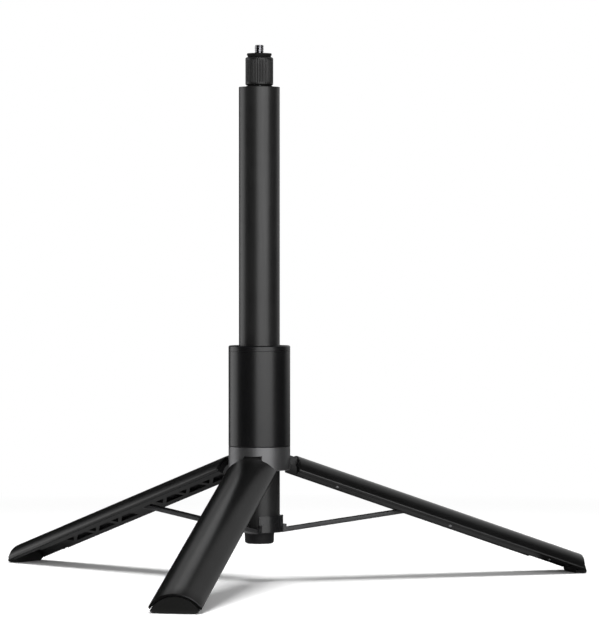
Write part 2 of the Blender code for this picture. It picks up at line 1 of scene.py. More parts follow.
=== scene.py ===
"""Looks of a selfie stick that stands on its own tripod legs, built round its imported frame.

Metres, +Z up. Round pieces are outlines turned about the pole's axis, leg shells are bent slabs,
struts are flat bars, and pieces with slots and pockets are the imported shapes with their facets
joined and their edges rounded.
"""

import json
import math

import bmesh
import bpy
import numpy as np
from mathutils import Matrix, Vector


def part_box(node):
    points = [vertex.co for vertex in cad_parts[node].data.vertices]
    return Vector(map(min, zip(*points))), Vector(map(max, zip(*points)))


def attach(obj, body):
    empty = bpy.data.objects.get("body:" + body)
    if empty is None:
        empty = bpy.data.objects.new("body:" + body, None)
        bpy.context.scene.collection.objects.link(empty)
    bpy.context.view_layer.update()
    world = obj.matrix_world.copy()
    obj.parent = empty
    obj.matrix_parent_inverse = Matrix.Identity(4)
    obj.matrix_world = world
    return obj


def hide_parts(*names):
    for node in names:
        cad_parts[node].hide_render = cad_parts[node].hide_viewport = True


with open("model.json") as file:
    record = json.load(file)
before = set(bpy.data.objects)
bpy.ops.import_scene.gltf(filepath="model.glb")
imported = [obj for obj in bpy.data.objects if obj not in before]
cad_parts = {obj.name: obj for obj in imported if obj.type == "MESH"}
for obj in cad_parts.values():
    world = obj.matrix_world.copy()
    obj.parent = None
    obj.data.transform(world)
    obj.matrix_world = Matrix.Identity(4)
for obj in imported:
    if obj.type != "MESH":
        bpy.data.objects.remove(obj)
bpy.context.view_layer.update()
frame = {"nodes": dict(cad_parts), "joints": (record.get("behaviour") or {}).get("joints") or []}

# Sizes that the frame's boxes don't give
MM = 0.001
POLE_WALL = 1.0 * MM
SECTION_WALL = 0.8 * MM
NECK_LENGTH = 5.0 * MM
NECK_CLEARANCE = 0.3 * MM
LAST_NECK_STEP = 0.1 * MM
LEG_SLOPE = math.radians(19.13)
LEG_HALF_ANGLE = math.radians(58.0)
LEG_RADIUS = 21.0 * MM
SHELL_WALL = 1.8 * MM
SHELL_TOP = 8.5 * MM
SHELL_END = 230.2 * MM
END_RUN = 0.5 * MM
EDGE_ROUND = 1.55 * MM
INNER_EDGE_ROUND = 0.2 * MM
LOCATOR_PLACES = np.array([39.0, 126.0, 204.0]) * MM
LOCATOR_RADIUS = 17.2 * MM
LOCATOR_SIZE = 1.15 * MM
LOCATOR_HEIGHT = 0.4 * MM
STRUT_SLOPE = math.radians(7.13)
STRUT_WIDTH = 6.0 * MM
STRUT_THICKNESS = 3.0 * MM
STRUT_KNUCKLE = 1.6 * MM
STRUT_EDGE = 0.45 * MM
RUNNER_PIN_RADIUS = 16.0 * MM
STUD_RADIUS = 3.175 * MM
THREAD_PITCH = 1.27 * MM
THREAD_DEPTH = 0.6 * MM
THREAD_FLAT = 0.12
THREAD_START = 0.6 * MM
NUT_CLEARANCE = 0.3 * MM
KNURL_TEETH = 48
KNURL_DEPTH = 0.22 * MM
KNURL_REACH = 1.2 * MM
KNURL_FADE = 0.5 * MM
LEG_ANGLES = np.radians([-90.0, 30.0, 150.0])
LEGS = (1, 2, 3)
SECTIONS = range(2, 7)

# Sizes of outlines and edges in mm, because outlines are drawn in mm
SLEEVE_BORE = 18.0
RIM_BORE = 14.5
RIM_SPIGOT = 17.7
RIM_SEAT = 3.76
CAP_RECESS = 3.3
CAP_RECESS_DEPTH = 3.0
CAP_SCREW_HOLE = 1.8
CAP_CHAMFER = 1.0
CAP_DRAFT = 0.3
CAP_DRAFT_HEIGHT = 8.0
SHOULDER_HEIGHT = 0.9
STUD_CHAMFER = 0.6
BORE_CLEARANCE = 0.3
NUT_CHAMFER = 0.7
KNURL_RUN_OUT = 0.9
WASHER_RADIUS = 9.0
WASHER_BORE_CLEARANCE = 0.05
WASHER_GAP_BELOW = 0.15
WASHER_GAP_ABOVE = 0.05
PAD_NECK = 0.45
PAD_NECK_HEIGHT = 0.7
PAD_BRIM_HEIGHT = 1.1
GROOVE_INSET = 1.6
GROOVE_DEPTH = 0.3
GROOVE_WIDTH = 0.5
RUNNER_EDGE = 0.12
HUB_EDGE = 0.25
LEG_FRAME_EDGE = 0.2
FOOT_EDGE = 0.2

# Fineness of meshes: what is merged, how far an edge turns before it is sharp, and leads beside arcs
MERGE_DISTANCE = 0.002 * MM
LEAST_EDGE = 0.001 * MM
LEAST_ROUND = 0.01 * MM
LEAD_LENGTH = 0.15 * MM
LEAD_SHARE = 0.2
SHARP_TURN = math.radians(40.0)
FACET_TURN = math.radians(0.6)
BEVEL_TURN = math.radians(28.0)


def node_span(node):
    """Largest radius about the pole's axis, lowest height and highest height of a packed round node."""
    low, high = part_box(node)
    return (high.x - low.x) / 2, low.z, high.z


pole_low, pole_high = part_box("pole_tube")
AXIS_X = (pole_low.x + pole_high.x) / 2
AXIS_Y = (pole_low.y + pole_high.y) / 2


def joint_place(name):
    """Distance from the pole's axis and height of a joint's pivot at rest."""
    x, y, z = next(joint["pos_m"] for joint in frame["joints"] if joint["name"] == name)
    return math.hypot(x - AXIS_X, y - AXIS_Y), z


PIVOT_RADIUS, PIVOT_Z = joint_place("leg_1_fold")
JOINT_ACROSS, JOINT_Z = joint_place("strut_1_swing")
STRUT_LENGTH = (JOINT_ACROSS - RUNNER_PIN_RADIUS) / math.cos(STRUT_SLOPE)


def linear(hex_colour):
    """Linear red, green, blue and alpha of an sRGB hex colour."""
    parts = np.array([int(hex_colour[i : i + 2], 16) for i in (0, 2, 4)]) / 255
    return (*np.where(parts <= 0.04045, parts / 12.92, ((parts + 0.055) / 1.055) ** 2.4), 1.0)


def add_node(tree, kind, settings=None, links=None):
    """Adds a shader node, with its settings or unlinked inputs by name, and the sockets that feed it."""
    made = tree.nodes.new("ShaderNode" + kind)
    for name, value in (settings or {}).items():
        if isinstance(name, int) or name in made.inputs:
            made.inputs[name].default_value = value
        else:
            setattr(made, name, value)
    for name, socket in (links or {}).items():
        tree.links.new(socket, made.inputs[name])
    return made


def blank_material(name):
    """A new material without nodes, and its node tree."""
    material = bpy.data.materials.new(name)
    material.use_nodes = True
    material.node_tree.nodes.clear()
    return material, material.node_tree


def finish(name, dark, light, rough, grain, depth, stretch=(1, 1, 1), mottle=18.0, **shader):
    """A surface whose colour drifts between two shades over `mottle` mm, with a grain of `grain` mm.

    The grain, stretched by a factor along each axis, raises the surface by `depth` mm and moves the
    roughness between the two values of `rough`. Other values go straight to the shader's sockets.
    """
    material, tree = blank_material(name)
    place = add_node(tree, "TexCoord").outputs["Object"]
    drift = add_node(tree, "TexNoise", {"Scale": 1 / (mottle * MM), "Detail": 2.0}, {"Vector": place})
    shade = add_node(
        tree, "MapRange", {"From Min": 0.3, "From Max": 0.7}, {"Value": drift.outputs["Fac"]}
    )
    colour = add_node(
        tree,
        "Mix",
        {"data_type": "RGBA", 6: linear(dark), 7: linear(light)},
        {0: shade.outputs["Result"]},
    )
    drawn = add_node(
        tree, "Mapping", {"Scale": tuple(1 / (grain * MM * s) for s in stretch)}, {"Vector": place}
    )
    pattern = add_node(
        tree,
        "TexNoise",
        {"Scale": 1.0, "Detail": 3.0, "Roughness": 0.6},
        {"Vector": drawn.outputs["Vector"]},
    )
    roughness = add_node(
        tree,
        "MapRange",
        {"From Min": 0.25, "From Max": 0.75, "To Min": rough[0], "To Max": rough[1]},
        {"Value": pattern.outputs["Fac"]},
    )
    relief = add_node(
        tree, "Bump", {"Strength": 1.0, "Distance": depth * MM}, {"Height": pattern.outputs["Fac"]}
    )
    surface = add_node(
        tree,
        "BsdfPrincipled",
        shader,
        {
            "Base Color": colour.outputs[2],
            "Roughness": roughness.outputs["Result"],
            "Normal": relief.outputs["Normal"],
        },
    )
    add_node(tree, "OutputMaterial", links={"Surface": surface.outputs["BSDF"]})
    return material


# Shares of reflection at the surface, for polished and for powdery surfaces
POLISHED = {"Specular IOR Level": 0.9}
DULL = {"Specular IOR Level": 0.25}

# Drawn aluminium tube, bead blasted and black anodised: satin, with faint lines along its length.
# The draw lines are really finer than 0.1 mm, and are drawn 0.9 mm apart so that they show.
ANODISED = finish(
    "black anodised aluminium tube", "171717", "1c1c1c", (0.33, 0.41), 0.9, 0.004, (1, 1, 60)
)
# Injection moulded ABS, black, from a fine spark-eroded tool: even satin with a hardly visible grain.
COLLAR_ABS = finish("black moulded ABS collar", "0c0c0d", "0f0f10", (0.29, 0.35), 0.8, 0.003)
LEG_ABS = finish("satin black ABS leg shell", "0b0b0b", "0f0f0f", (0.28, 0.34), 0.9, 0.0025)
FRAME_ABS = finish("black moulded ABS leg frame", "0b0b0c", "101010", (0.42, 0.54), 0.8, 0.006)
# The runner ring's tool was polished, so that it is glossier than the other mouldings.
RUNNER_ABS = finish(
    "polished black ABS runner ring", "0e0e0f", "121213", (0.22, 0.28), 0.8, 0.001, **POLISHED
)
# The end cap and the washer under the nut come from a coarse tool, which leaves them matt.
CAP_ABS = finish("matt black ABS end cap", "0d0d0e", "111112", (0.60, 0.72), 0.7, 0.015, **DULL)
# ABS sprayed with gunmetal paint: a metallic base with fine flake, so its highlight is brighter.
HUB_PAINT = finish(
    "gunmetal painted ABS hub", "6a6a6b", "747475", (0.38, 0.46), 0.35, 0.003, Metallic=0.88
)
# Moulded rubber: dark, dull and slightly powdery, with a pebbled skin.
RUBBER = finish("black moulded rubber", "0d0d0d", "121211", (0.62, 0.78), 0.6, 0.03, **DULL)
# Steel turned on a lathe and nickel plated: bright, with fine rings across its length.
STUD_STEEL = finish(
    "turned nickel plated steel", "a9a9ac", "bcbcbf", (0.14, 0.24), 0.25, 0.003, (8, 8, 1), Metallic=1.0
)
# Drawn steel wire, cut to pins and left bare: greyer and less even than the plated stud.
PIN_STEEL = finish("drawn steel pin", "8f8f92", "a4a4a6", (0.25, 0.38), 0.4, 0.004, Metallic=1.0)
# Strip steel, stamped and painted grey: soft sheen and the slight orange peel of sprayed paint.
STRUT_PAINT = finish(
    "grey painted strip steel", "2c2c2d", "353536", (0.34, 0.44), 1.4, 0.012, Metallic=0.3
)
# Aluminium bar, straight knurled and black anodised, its tone drifting a little between two shades.
KNURL_ALUMINIUM = finish(
    "knurled black anodised aluminium", "1a1a1a", "272727", (0.34, 0.46), 0.5, 0.008, Metallic=0.3
)
# Moulded nylon: milky white, waxy, a little uneven in tone.
NYLON = finish("white moulded nylon", "cfccc4", "dcdad3", (0.42, 0.55), 0.8, 0.006)


def put(name, mesh, body, material, nodes=()):
    """Makes an object of a mesh, at the origin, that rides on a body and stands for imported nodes."""
    made = bpy.data.objects.new(name, mesh)
    bpy.context.scene.collection.objects.link(made)
    mesh.materials.append(material)
    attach(made, body)
    if nodes:
        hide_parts(*nodes)
    return made


def skin(name, grid, close_rows, close_columns=True):
    """Mesh of a grid of points: each cell is one face, and rows or columns that close join up.

    Points that fall together, at poles and where a cap narrows to a line, are merged.
    """
    rows, columns = grid.shape[:2]
    i, j = np.meshgrid(
        np.arange(rows if close_rows else rows - 1),
        np.arange(columns if close_columns else columns - 1),
        indexing="ij",
    )
    after_i, after_j = (i + 1) % rows, (j + 1) % columns
    corners = [i * columns + j, i * columns + after_j, after_i * columns + after_j, after_i * columns + j]
    mesh = bpy.data.meshes.new(name)
    mesh.from_pydata(grid.reshape(-1, 3).tolist(), [], np.stack(corners, -1).reshape(-1, 4).tolist())
    bm = bmesh.new()
    bm.from_mesh(mesh)
    bmesh.ops.remove_doubles(bm, verts=bm.verts, dist=MERGE_DISTANCE)
    bmesh.ops.dissolve_degenerate(bm, edges=bm.edges, dist=LEAST_EDGE)
    bmesh.ops.recalc_face_normals(bm, faces=bm.faces)
    bm.to_mesh(mesh)
    bm.free()
    mesh.shade_smooth()
    mesh.set_sharp_from_angle(angle=SHARP_TURN)
    return mesh


def rounded(corners, rounds, closed=True, steps=4):
    """Outline through corners, each rounded by an arc of its own radius, all in mm.

    An arc's centre is on the corner's bisector, and its points turn evenly between the two sides. One
    more point on each side, close to the arc, keeps the shading of the straight part flat.
    """
    p = np.array(corners, float) * MM
    radius = np.maximum(np.broadcast_to(np.array(rounds, float) * MM, len(p)), LEAST_ROUND)[:, None]
    back, ahead = np.roll(p, 1, 0) - p, np.roll(p, -1, 0) - p
    back_length = np.linalg.norm(back, axis=1, keepdims=True)
    ahead_length = np.linalg.norm(ahead, axis=1, keepdims=True)
    back, ahead = back / back_length, ahead / ahead_length
    half = np.arccos(np.clip((back * ahead).sum(1, keepdims=True), -1, 1)) / 2
    middle = back + ahead
    centre = p + middle / np.linalg.norm(middle, axis=1, keepdims=True) * radius / np.sin(half)
    run = radius / np.tan(half)
    start, end = p + back * run, p + ahead * run
    sweep = math.pi - 2 * half[:, :, None]
    t = np.linspace(0, 1, steps + 1)[None, :, None]
    arcs = (
        np.sin((1 - t) * sweep) * (start - centre)[:, None] + np.sin(t * sweep) * (end - centre)[:, None]
    ) / np.sin(sweep) + centre[:, None]
    lead = start + back * np.minimum(LEAD_LENGTH, LEAD_SHARE * back_length)
    tail = end + ahead * np.minimum(LEAD_LENGTH, LEAD_SHARE * ahead_length)
    path = np.concatenate([lead[:, None], arcs, tail[:, None]], 1)
    if closed:
        return path.reshape(-1, 2)
    return np.vstack([p[:1], path[1:-1].reshape(-1, 2), p[-1:]])


def densified(path, spacing):
    """The same outline with more points: its own ones and one at every `spacing` along it."""
    reach = np.concatenate([[0], np.cumsum(np.linalg.norm(np.diff(path, axis=0), axis=1))])
    places = np.unique(np.concatenate([reach, np.arange(0, reach[-1], spacing)]))
    return np.column_stack([np.interp(places, reach, path[:, k]) for k in (0, 1)])


def turned(outline, steps=128, carve=None):
    """Points of a (radius, height) outline turned about the pole's axis.

    `carve` takes radius, height and angle and gives the radius after a knurl or thread is cut.
    """
    angle = np.linspace(0, 2 * math.pi, steps, endpoint=False)[None, :]
    radius = np.repeat(outline[:, :1], steps, 1)
    height = np.repeat(outline[:, 1:], steps, 1)
    if carve is not None:
        radius = carve(radius, height, angle)
    return np.stack([AXIS_X + radius * np.cos(angle), AXIS_Y + radius * np.sin(angle), height], -1)


def on_leg(number, along, radius, turn):
    """Points of a leg by distance down it, radius, and angle round the pole that it folds against."""
    angle = LEG_ANGLES[number - 1]
    out = np.array([math.cos(angle), math.sin(angle), 0.0])
    side = np.array([-math.sin(angle), math.cos(angle), 0.0])
    up = np.array([0.0, 0.0, 1.0])
    down_leg = math.cos(LEG_SLOPE) * out - math.sin(LEG_SLOPE) * up
    off_leg = math.sin(LEG_SLOPE) * out + math.cos(LEG_SLOPE) * up
    pivot = np.array([AXIS_X, AXIS_Y, PIVOT_Z]) + PIVOT_RADIUS * out
    along, radius, turn = (x[..., None] for x in np.broadcast_arrays(along, radius, turn))
    off_pivot = radius * np.cos(turn) - PIVOT_RADIUS
    return pivot + along * down_leg + off_pivot * off_leg + radius * np.sin(turn) * side


def squircle(angle, power):
    """Cosine and sine of an angle, pushed out from a circle towards a square."""
    c, s = np.cos(angle), np.sin(angle)
    return np.sign(c) * np.abs(c) ** (2 / power), np.sign(s) * np.abs(s) ** (2 / power)


def leg_shell(number):
    """A slab bent round the pole's axis, with soft edges.

    Its middle surface is an arc of the leg's width, carried along the leg. A loop runs round the arc at
    half the wall's thickness. Over each long edge it follows a large arc from the outer face and a small
    one to the inner face. Towards both ends the loop narrows to the middle arc on a squircle, which
    rounds the end faces, at the foot further on the outer side.
    """
    half_wall = SHELL_WALL / 2
    middle = LEG_RADIUS - half_wall
    half_angle = LEG_HALF_ANGLE - half_wall / middle
    across_steps, edge_steps, body_steps = 41, 9, 22
    across = np.linspace(-1, 1, across_steps)
    swing = np.linspace(0, math.pi / 2, edge_steps)
    outer, inner = EDGE_ROUND / half_wall, INNER_EDGE_ROUND / half_wall
    edge_out = np.concatenate([1 - outer * (1 - np.cos(swing)), inner * (1 - np.sin(swing)) - 1])
    edge_along = np.concatenate([1 - outer * (1 - np.sin(swing)), 1 - inner * (1 - np.cos(swing))])
    ends = np.ones(len(edge_out))
    turn = half_angle * np.concatenate([across, ends, -across, -ends])
    lift = np.concatenate([np.ones(across_steps), edge_out, -np.ones(across_steps), edge_out[::-1]])
    spread = np.concatenate([across * (1 - outer), edge_along, -across * (1 - inner), -edge_along[::-1]])
    narrow, reach = squircle(swing, 2.2)
    share = np.concatenate([narrow[::-1], np.ones(body_steps), narrow])[:, None]
    start = SHELL_TOP + half_wall * (1 - reach[::-1])
    body = np.linspace(SHELL_TOP + END_RUN, SHELL_END - END_RUN, body_steps + 2)[1:-1]
    place = np.concatenate([start, body, np.full(edge_steps, SHELL_END)])[:, None]
    run = (END_RUN * (2 + lift) / 3)[None, :]
    along = place - np.concatenate([np.zeros(edge_steps + body_steps), 1 - reach])[:, None] * run
    radius = middle + half_wall * share * lift
    return on_leg(number, along, radius, turn + half_wall * share * spread / middle)


def leg_locators(number):
    """Three small domes on one long edge of a leg: half balls, flattened, on the edge's flat face."""
    round_it, rise = np.meshgrid(
        np.linspace(0, 2 * math.pi, 20, endpoint=False), np.linspace(0, math.pi / 2, 7), indexing="ij"
    )
    domes = []
    for place in LOCATOR_PLACES:
        along = place + LOCATOR_SIZE * np.cos(rise) * np.cos(round_it)
        radius = LOCATOR_RADIUS + LOCATOR_SIZE * np.cos(rise) * np.sin(round_it)
        height = LOCATOR_HEIGHT * np.sin(rise)
        domes.append(on_leg(number, along, radius, -LEG_HALF_ANGLE - height / radius))
    return domes


def strut_bar(number):
    """A flat bar with a round knuckle at each end, carried across its width with softened edges.

    The outline runs along both faces and round both knuckles. Across the width it is drawn in by a
    squircle near both sides, and last it narrows to the bar's middle line, which closes the sides.
    """
    half = STRUT_THICKNESS / 2
    dip = math.asin(half / STRUT_KNUCKLE)
    turn = np.linspace(dip, 2 * math.pi - dip, 25)
    knuckle = STRUT_KNUCKLE * np.stack([np.cos(turn), np.sin(turn)], -1)
    straight = np.linspace(knuckle[-1, 0], STRUT_LENGTH - knuckle[-1, 0], 12)[1:-1]
    lower = np.stack([straight, np.full(len(straight), -half)], -1)
    far = np.array([STRUT_LENGTH, 0.0]) - knuckle
    outline = np.vstack([knuckle, lower, far, lower[::-1] * [1, -1]])
    inner, reach = squircle(np.linspace(0, math.pi / 2, 6), 2.5)
    keep = np.append(1 - (1 - inner) * STRUT_EDGE / half, 0.0)
    place = np.append(STRUT_WIDTH / 2 - STRUT_EDGE + STRUT_EDGE * reach, STRUT_WIDTH / 2)
    share = np.concatenate([keep[::-1], keep])[:, None]
    across = np.concatenate([-place[::-1], place])[:, None]
    x = np.repeat(outline[None, :, 0], len(share), 0)
    z = outline[None, :, 1] * share
    angle = LEG_ANGLES[number - 1]
    outward = JOINT_ACROSS - (math.cos(STRUT_SLOPE) * x + math.sin(STRUT_SLOPE) * z)
    height = JOINT_Z - math.sin(STRUT_SLOPE) * x + math.cos(STRUT_SLOPE) * z
    return np.stack([
        AXIS_X + outward * math.cos(angle) - across * math.sin(angle),
        AXIS_Y + outward * math.sin(angle) + across * math.cos(angle),
        height,
    ], -1)


def dressed_copy(node, body, material, edge):
    """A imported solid's own shape: triangles merged, flat faces joined, edges rounded by `edge` mm."""
    source = frame["nodes"][node].data
    points = np.empty(len(source.vertices) * 3, np.float32)
    source.vertices.foreach_get("co", points)
    corners = np.empty(len(source.loops), np.int32)
    source.loops.foreach_get("vertex_index", corners)
    mesh = bpy.data.meshes.new(node + "_dressed")
    mesh.from_pydata(points.reshape(-1, 3).tolist(), [], corners.reshape(-1, 3).tolist())
    bm = bmesh.new()
    bm.from_mesh(mesh)
    bmesh.ops.remove_doubles(bm, verts=bm.verts, dist=MERGE_DISTANCE)
    bmesh.ops.dissolve_limit(bm, angle_limit=FACET_TURN, verts=bm.verts, edges=bm.edges)
    bm.to_mesh(mesh)
    bm.free()
    mesh.shade_smooth()
    mesh.set_sharp_from_angle(angle=BEVEL_TURN)
    made = put(node + "_dressed", mesh, body, material, [node])
    soften = made.modifiers.new("soft edges", "BEVEL")
    soften.width = edge * MM
    soften.segments = 2
    soften.limit_method = "ANGLE"
    soften.angle_limit = BEVEL_TURN
    soften.harden_normals = True
    return made


def tube_outline(outside, wall, neck, bottom, top):
    """Half section of a telescopic tube, in mm: its neck closes in round the next tube at the top."""
    inside = outside - wall
    corners = [
        (outside, top),
        (outside, bottom),
        (inside, bottom),
        (inside, top - NECK_LENGTH / MM - (inside - neck)),
        (neck, top - NECK_LENGTH / MM),
        (neck, top),
    ]
    return rounded(corners, [0.3, 0.2, 0.2, 0.2, 0.2, 0.15])


# Pole and telescopic sections
section_radii = {number: node_span(f"section_{number}_tube")[0] for number in SECTIONS}
pole_radius, pole_bottom, pole_top = node_span("pole_tube")
neck = section_radii[2] + NECK_CLEARANCE
outline = tube_outline(pole_radius / MM, POLE_WALL / MM, neck / MM, pole_bottom / MM, pole_top / MM)
mesh = skin("pole_outer_tube", turned(outline), True)
put("pole_outer_tube", mesh, "pole", ANODISED, ["pole_tube"])
for number in SECTIONS:
    radius, bottom, top = node_span(f"section_{number}_tube")
    neck = radius - SECTION_WALL - LAST_NECK_STEP
    if number + 1 in section_radii:
        neck = section_radii[number + 1] + NECK_CLEARANCE
    outline = tube_outline(radius / MM, SECTION_WALL / MM, neck / MM, bottom / MM, top / MM)
    name = f"section_{number}_sleeve"
    mesh = skin(name, turned(outline, 96), True)
    put(name, mesh, f"section_{number}", ANODISED, [f"section_{number}_tube"])

    outer, low, high = (x / MM for x in node_span(f"section_{number}_glide"))
    inner = (radius - SECTION_WALL) / MM
    ring = rounded([(inner, low), (outer, low), (outer, high), (inner, high)], 0.12)
    name = f"section_{number}_glide_ring"
    mesh = skin(name, turned(ring, 96), True)
    put(name, mesh, f"section_{number}", NYLON, [f"section_{number}_glide"])

# Collar: a sleeve, and a rim above a fine seam
outer, low, high = (x / MM for x in node_span("collar_sleeve"))
sleeve = rounded(
    [(SLEEVE_BORE, low), (outer, low), (outer, high), (SLEEVE_BORE, high)],
    [0.1, 0.25, 0.12, 0.1],
)
mesh = skin("collar_body", turned(sleeve), True)
put("collar_body", mesh, "hub", COLLAR_ABS, ["collar_sleeve"])
outer, low, high = (x / MM for x in node_span("collar_trim"))
seat = low + RIM_SEAT
trim = rounded(
    [(RIM_BORE, low), (RIM_SPIGOT, low), (RIM_SPIGOT, seat), (outer, seat), (outer, high), (RIM_BORE, high)],
    [0.1, 0.1, 0.1, 0.12, 1.0, 0.4],
    steps=6,
)
mesh = skin("collar_rim", turned(trim), True)
put("collar_rim", mesh, "hub", COLLAR_ABS, ["collar_trim"])

# Foot of the pole
outer, low, high = (x / MM for x in node_span("end_cap"))
cap = rounded(
    [
        (CAP_RECESS, low),
        (outer - CAP_DRAFT - CAP_CHAMFER, low),
        (outer - CAP_DRAFT, low + CAP_CHAMFER),
        (outer, low + CAP_DRAFT_HEIGHT),
        (outer, high),
        (CAP_SCREW_HOLE, high),
        (CAP_SCREW_HOLE, low + CAP_RECESS_DEPTH),
        (CAP_RECESS, low + CAP_RECESS_DEPTH),
    ],
    [0.3, 0.5, 0.5, 0.3, 0.1, 0.1, 0.1, 0.1],
)
mesh = skin("end_cap_body", turned(cap), True)
put("end_cap_body", mesh, "pole", CAP_ABS, ["end_cap"])
dressed_copy("runner_ring", "pole", RUNNER_ABS, RUNNER_EDGE)
dressed_copy("hub_ring", "hub", HUB_PAINT, HUB_EDGE)


# Head: threaded stud, knurled nut, the washer under it and the seat pad on top
def threaded(radius, height, angle):
    """Radius after a thread is cut: a rounded vee that climbs one pitch a turn, on the stud alone."""
    phase = height / THREAD_PITCH - angle / (2 * math.pi)
    vee = np.abs(2 * (phase - np.floor(phase)) - 1)
    flank = np.clip((vee - THREAD_FLAT) / (1 - 2 * THREAD_FLAT), 0, 1)
    cut = STUD_RADIUS - THREAD_DEPTH * flank
    on_stud = (radius <= STUD_RADIUS + 1e-6) & (height > spindle_shoulder + THREAD_START)
    return np.where(on_stud, np.minimum(radius, cut), radius)


def knurled(radius, height, angle):
    """Radius after a straight knurl is cut: ribs along the nut that run out near both of its ends.

    A real knurl of this size has finer ribs. These are drawn coarser, so that they show.
    """
    crest = np.abs(np.cos(KNURL_TEETH * angle / 2))
    run_out = np.clip(np.minimum(height - nut_low, nut_high - height) / MM - KNURL_RUN_OUT, 0, 1)
    outside = np.clip((radius - (nut_radius - KNURL_REACH)) / KNURL_FADE, 0, 1)
    return radius - KNURL_DEPTH * (1 - crest) * run_out * outside


low_corner, high_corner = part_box("head_spindle")
nut_radius, nut_low, nut_high = node_span("lock_nut")
spindle_shoulder = nut_low - NUT_CLEARANCE
low, shoulder, tip = (x / MM for x in (low_corner.z, spindle_shoulder, high_corner.z))
flange, stud = section_radii[6] / MM, STUD_RADIUS / MM
shank = (section_radii[6] - SECTION_WALL - NECK_CLEARANCE) / MM
spindle = rounded(
    [
        (0, low),
        (shank, low),
        (shank, shoulder - SHOULDER_HEIGHT),
        (flange, shoulder - SHOULDER_HEIGHT),
        (flange, shoulder),
        (stud, shoulder),
        (stud, tip - STUD_CHAMFER),
        (stud - STUD_CHAMFER, tip),
        (0, tip),
    ],
    [0, 0.3, 0.1, 0.1, 0.1, 0.1, 0.15, 0.15, 0],
    closed=False,
)
grid = turned(densified(spindle, 0.1 * MM), 64, threaded)
mesh = skin("camera_stud", grid, False)
put("camera_stud", mesh, "section_6", STUD_STEEL, ["head_spindle"])

bore = stud + BORE_CLEARANCE
outer, low, high = (x / MM for x in (nut_radius, nut_low, nut_high))
nut = rounded(
    [
        (bore, low),
        (outer - NUT_CHAMFER, low),
        (outer, low + NUT_CHAMFER),
        (outer, high - NUT_CHAMFER),
        (outer - NUT_CHAMFER, high),
        (bore, high),
    ],
    [0.1, 0.4, 0.4, 0.4, 0.4, 0.1],
)
grid = turned(densified(nut, 0.9 * MM), KNURL_TEETH * 6, knurled)
mesh = skin("knurled_lock_nut", grid, True)
put("knurled_lock_nut", mesh, "lock_nut", KNURL_ALUMINIUM, ["lock_nut"])

inner = flange + WASHER_BORE_CLEARANCE
low, high = pole_top / MM + WASHER_GAP_BELOW, shoulder - WASHER_GAP_ABOVE
washer = rounded([(inner, low), (WASHER_RADIUS, low), (WASHER_RADIUS, high), (inner, high)], 0.2)
mesh = skin("nut_washer", turned(washer), True)
put("nut_washer", mesh, "section_6", CAP_ABS)

outer, low, high = (x / MM for x in node_span("seat_pad"))
groove = outer - GROOVE_INSET
pad = rounded(
    [
        (bore, low),
        (outer - PAD_NECK, low),
        (outer - PAD_NECK, low + PAD_NECK_HEIGHT),
        (outer, low + PAD_BRIM_HEIGHT),
        (outer, high),
        (groove, high),
        (groove - GROOVE_DEPTH, high - GROOVE_DEPTH),
        (groove - GROOVE_DEPTH - GROOVE_WIDTH, high - GROOVE_DEPTH),
        (groove - 2 * GROOVE_DEPTH - GROOVE_WIDTH, high),
        (bore, high),
    ],
    [0.1, 0.1, 0.2, 0.2, 0.45, 0.2, 0.1, 0.1, 0.2, 0.2],
)
mesh = skin("seat_pad_disc", turned(pad), True)
put("seat_pad_disc", mesh, "seat_pad", RUBBER, ["seat_pad"])

# Legs and struts
for number in LEGS:
    leg = f"leg_{number}"
    name = f"leg_{number}_cover"
    cover = skin(name, leg_shell(number), False)
    put(name, cover, leg, LEG_ABS, [f"leg_shell_{number}"])
    dressed_copy(f"leg_frame_{number}", leg, FRAME_ABS, LEG_FRAME_EDGE)
    dressed_copy(f"foot_{number}", leg, RUBBER, FOOT_EDGE)
    for count, locator in enumerate(leg_locators(number), 1):
        name = f"leg_{number}_locator_{count}"
        put(name, skin(name, locator, True, False), leg, PIN_STEEL)
    name = f"strut_{number}_bar"
    bar = skin(name, strut_bar(number), False)
    put(name, bar, f"strut_{number}", STRUT_PAINT, [f"strut_{number}"])

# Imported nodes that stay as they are, mostly out of sight
pins = [f"{pin}_{number}" for pin in ("leg_pin", "strut_joint_pin", "runner_pin") for number in LEGS]
plain_nodes = {
    "upper_bush": NYLON,
    "lower_bush": NYLON,
    "friction_ring": RUBBER,
    "pole_plug": CAP_ABS,
    "cap_screw": PIN_STEEL,
    **dict.fromkeys(pins, PIN_STEEL),
}
for node, material in plain_nodes.items():
    frame["nodes"][node].data.materials.clear()
    frame["nodes"][node].data.materials.append(material)

# Studio: lengths in metres, but the camera's lens and sensor in mm
VIEW_TURN = math.radians(12.4)
VIEW_TILT = math.radians(90 - 1.073)
CAMERA_PLACE = (0.55846, -2.36102, 0.224)
CAMERA_LENS = 203.27
CAMERA_SENSOR = 36.0
TO_CAMERA = np.array([math.sin(VIEW_TURN), -math.cos(VIEW_TURN), 0.0])
TO_RIGHT = np.array([math.cos(VIEW_TURN), math.sin(VIEW_TURN), 0.0])
HUB = np.array([AXIS_X, AXIS_Y, 0.0])
STUDIO_FILL = 0.22
FLOOR_RINGS = (0.0, 0.25, 0.5, 0.8, 1.2, 1.8, 2.6, 3.4)
FLOOR_FADE_START = 0.55
FLOOR_FADE_END = 0.9
SHEET_HEIGHT = 0.002
WALL_RADIUS = 3.3
BACK_RADIUS = 3.2
STRIP_RADIUS = 3.1


def studio_place(azimuth, distance, height):
    """A place round the hub by degrees to the right of the camera's direction."""
    turn = math.radians(azimuth)
    return HUB + distance * (math.cos(turn) * TO_CAMERA + math.sin(turn) * TO_RIGHT) + [0, 0, height]


